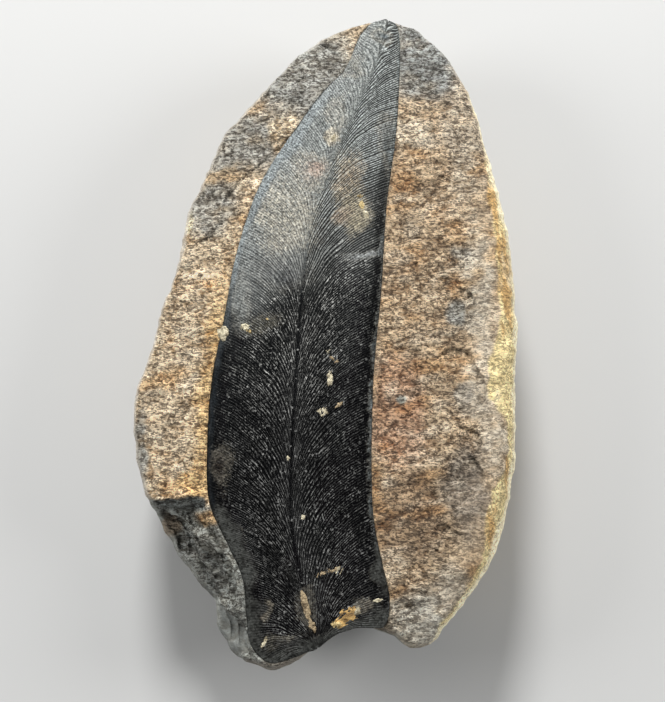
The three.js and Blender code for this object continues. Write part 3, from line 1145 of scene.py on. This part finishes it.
def stone_material():
    """Grainy ironstone: crystal facets of many brightnesses, partly grain tone and partly painted highlight
    and shade, painted shade in the creases with lighter painted tops on the lumps, and soft stains.
    """
    n = Nodes("ironstone")
    run = n.place((0.55, 1.1, 1.0))
    tint = n.attribute("tint", "Color")
    rough = n.math("SUBTRACT", 1.0, n.times(n.attribute("calm"), 0.8))
    fine = n.noise(run, 4.2, 4.0, 0.85)
    chips = n.math("ADD", n.times(n.facets(run, 3.0), 0.45), n.times(n.facets(run, 5.5), 0.55))
    # Each crystal facet gets a brightness of its own: partly the grains' tone, partly painted highlight and
    # shade on the grains.
    shade = n.mix(n.ramp(chips, 0.25, 0.75), (0.40, 0.37, 0.34, 1), (2.05, 2.05, 2.04, 1))
    colour = n.tinted(tint, n.mix(rough, (1.0, 1.0, 1.0, 1), shade))
    # Painted shade in the creases of the grain, and lighter painted tops on the lumps.
    deep = n.mix(1.0, n.tinted(tint, (0.72, 0.66, 0.58, 1)), (0.14, 0.13, 0.12, 1), "ADD")
    crease_shade = n.mix(n.ramp(n.attribute("crease_shading"), -0.85, 0.1), deep, (1.24, 1.24, 1.24, 1))
    colour = n.tinted(colour, crease_shade)
    stain_noise = n.noise(run, 1.0, 3.0, 0.65)
    stain = n.mix(n.ramp(stain_noise, 0.4, 0.6), (0.85, 0.82, 0.77, 1), (1.14, 1.15, 1.14, 1))
    n.surface(n.tinted(colour, stain), n.ramp(fine, 0.3, 0.7, 0.95, 0.7))
    height = n.math("ADD", n.times(chips, 0.35), n.times(fine, 0.9))
    n.bump(n.times(height, rough), 1.0, 0.7)
    return n.material


def fleck_material():
    n = Nodes("matrix_crumbs")
    where = n.place((1, 1, 1))
    fine = n.noise(where, 4.0, 3.0, 0.75)
    shade = n.mix(n.facets(where, 5.0), (0.5, 0.46, 0.4, 1), (1.5, 1.5, 1.48, 1))
    n.surface(n.tinted(n.attribute("tint", "Color"), shade), n.ramp(fine, 0.3, 0.7, 0.9, 0.6))
    n.bump(fine, 1.0, 0.3)
    return n.material


def vein_lines(n, crest, sheen_and_wear_top, fine, broken, hairs, veil):
    """Painted highlights on the crests as pale lines: broken dashes on the black film, whole lines on the
    grey.
    """
    dashes = n.times(n.ramp(broken, 0.46, 0.62), veil)
    whole = n.times(n.times(sheen_and_wear_top, 0.8), n.ramp(fine, 0.3, 0.5, 0.5, 1.0))
    on_crest = n.ramp(crest, n.math("SUBTRACT", 0.72, n.times(sheen_and_wear_top, 0.6)), 1.0)
    line = n.times(on_crest, n.math("MAXIMUM", dashes, whole))
    return n.math("MAXIMUM", line, n.times(n.ramp(hairs, 0.60, 0.72), n.times(veil, 0.65)))


def worn_through(n, colour, where, fine):
    """The film's colour with the rock showing where the film is worn, grain by grain."""
    grit = n.math("ADD", n.times(fine, 0.6), n.times(n.facets(where, 4.0), 0.4))
    bare = n.ramp(n.math("ADD", n.times(grit, 0.6), n.attribute("worn")), 0.45, 1.15, 0.0, 0.88)
    shade = n.mix(n.facets(where, 3.6), (0.36, 0.35, 0.34, 1), (1.75, 1.75, 1.74, 1))
    return n.mix(bare, colour, n.tinted(n.attribute("rock_tint", "Color"), shade))


def leaf_material():
    """Coaly film: black with pale dashes painted as highlights on the vein crests, turning to lined steel
    grey near the tip, partly worn film and partly painted sheen.
    """
    n = Nodes("leaf_coal")
    where = n.place((1, 1, 1))
    vein = n.attribute("vein", "Vector")
    highlight_tint = n.attribute("highlight_tint", "Color")
    crest, sheen_and_wear_top = n.attribute("crest"), n.attribute("sheen_and_wear_top")
    fine = n.noise(where, 4.0, 3.0, 0.7)
    broken = n.noise(vein, 1.3, 4.0, 0.8, unit=1)
    hairs = n.noise(vein, 2.3, 2.0, 0.6, unit=1)
    veil = n.ramp(n.noise(where, 0.5, 3.0, 0.6), 0.36, 0.6, 0.3, 1.0)
    # Pale lines on the vein crests: painted highlights.
    line = vein_lines(n, crest, sheen_and_wear_top, fine, broken, hairs, veil)
    mottle = n.mix(n.ramp(fine, 0.35, 0.65), (0.4, 0.4, 0.4, 1), (1.7, 1.7, 1.7, 1))
    grain = n.mix(n.facets(where, 4.5), (0.6, 0.6, 0.59, 1), (1.4, 1.4, 1.4, 1))
    colour = n.mix(line, n.tinted(n.attribute("tint", "Color"), mottle), n.tinted(highlight_tint, grain))
    # Painted glints: a few grains lit up in the colour of the vein lines.
    sparkle = n.times(n.ramp(n.facets(where, 4.0), 0.975, 0.99), n.times(veil, 0.6))
    colour = worn_through(n, n.mix(sparkle, colour, highlight_tint), where, fine)
    # Painted shade in the grooves between the vein crests on the upper film.
    furrow = n.times(n.ramp(crest, 0.75, 0.1), n.attribute("furrow_shading"))
    furrow = n.times(furrow, n.ramp(broken, 0.3, 0.5, 0.25, 0.85))
    colour = n.mix(furrow, colour, n.tinted(colour, (0.3, 0.28, 0.26, 1)))
    crisp = n.mix(n.facets(where, 5.0), (0.32, 0.32, 0.32, 1), (1.75, 1.74, 1.72, 1))
    colour = n.mix(n.times(sheen_and_wear_top, 0.9), colour, n.tinted(colour, crisp))
    n.surface(colour, n.ramp(fine, 0.3, 0.7, 0.26, 0.42))
    n.set(n.shader.inputs["Specular IOR Level"], 0.08)
    n.bump(fine, 0.6, 0.08)
    return n.material


# --- stage, light and camera ---

LENS = 70
ELEVATION = 78
AIM = Vector((0.7, -4.55, 19.0)) * MM
DISTANCE = 204.95 * MM


def floor():
    mesh = bpy.data.meshes.new("floor")
    half = 3.0
    corners = [(-half, -half, 0), (half, -half, 0), (half, half, 0), (-half, half, 0)]
    mesh.from_pydata(corners, [], [(0, 1, 2, 3)])
    n = Nodes("floor_paper")
    n.surface((0.56, 0.56, 0.55, 1), 0.9)
    mesh.materials.append(n.material)
    placed("floor", mesh)


def area_light(name, place, size, power, colour=(1, 1, 1)):
    lamp = bpy.data.lights.new(name, "AREA")
    lamp.shape = "DISK"
    lamp.size = size
    lamp.energy = power
    lamp.color = colour
    holder = placed(name, lamp)
    holder.location = place
    holder.rotation_euler = (Vector((0, 0, 0.01)) - Vector(place)).to_track_quat("-Z", "Y").to_euler()


def lights():
    area_light("key", (-0.06, 0.50, 0.34), 0.16, 4.6)
    area_light("right", (0.50, 0.05, 0.26), 0.3, 1.8)
    area_light("left", (-0.50, 0.05, 0.26), 0.3, 1.6)
    world = bpy.data.worlds.new("studio")
    world.use_nodes = True
    world.node_tree.nodes["Background"].inputs["Color"].default_value = (0.97, 0.98, 1.0, 1)
    world.node_tree.nodes["Background"].inputs["Strength"].default_value = 0.2
    bpy.context.scene.world = world
    bpy.context.scene.view_settings.view_transform = "Standard"


def camera():
    data = bpy.data.cameras.new("camera")
    data.lens = LENS
    data.clip_start = 0.01
    holder = placed("camera", data)
    tilt = math.radians(ELEVATION)
    back = Vector((0, -math.cos(tilt), math.sin(tilt)))
    holder.location = AIM + back * DISTANCE
    holder.rotation_euler = (-back).to_track_quat("-Z", "Y").to_euler()
    bpy.context.scene.camera = holder


camera()
lights()
floor()

stone = stone_object(stone_material())
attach(stone, "root")
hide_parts("fossil_plate")

leaf = leaf_object(leaf_material())
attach(leaf, "root")

flecks = flecks_object(fleck_material())
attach(flecks, "root")

bpy.context.view_layer.update()
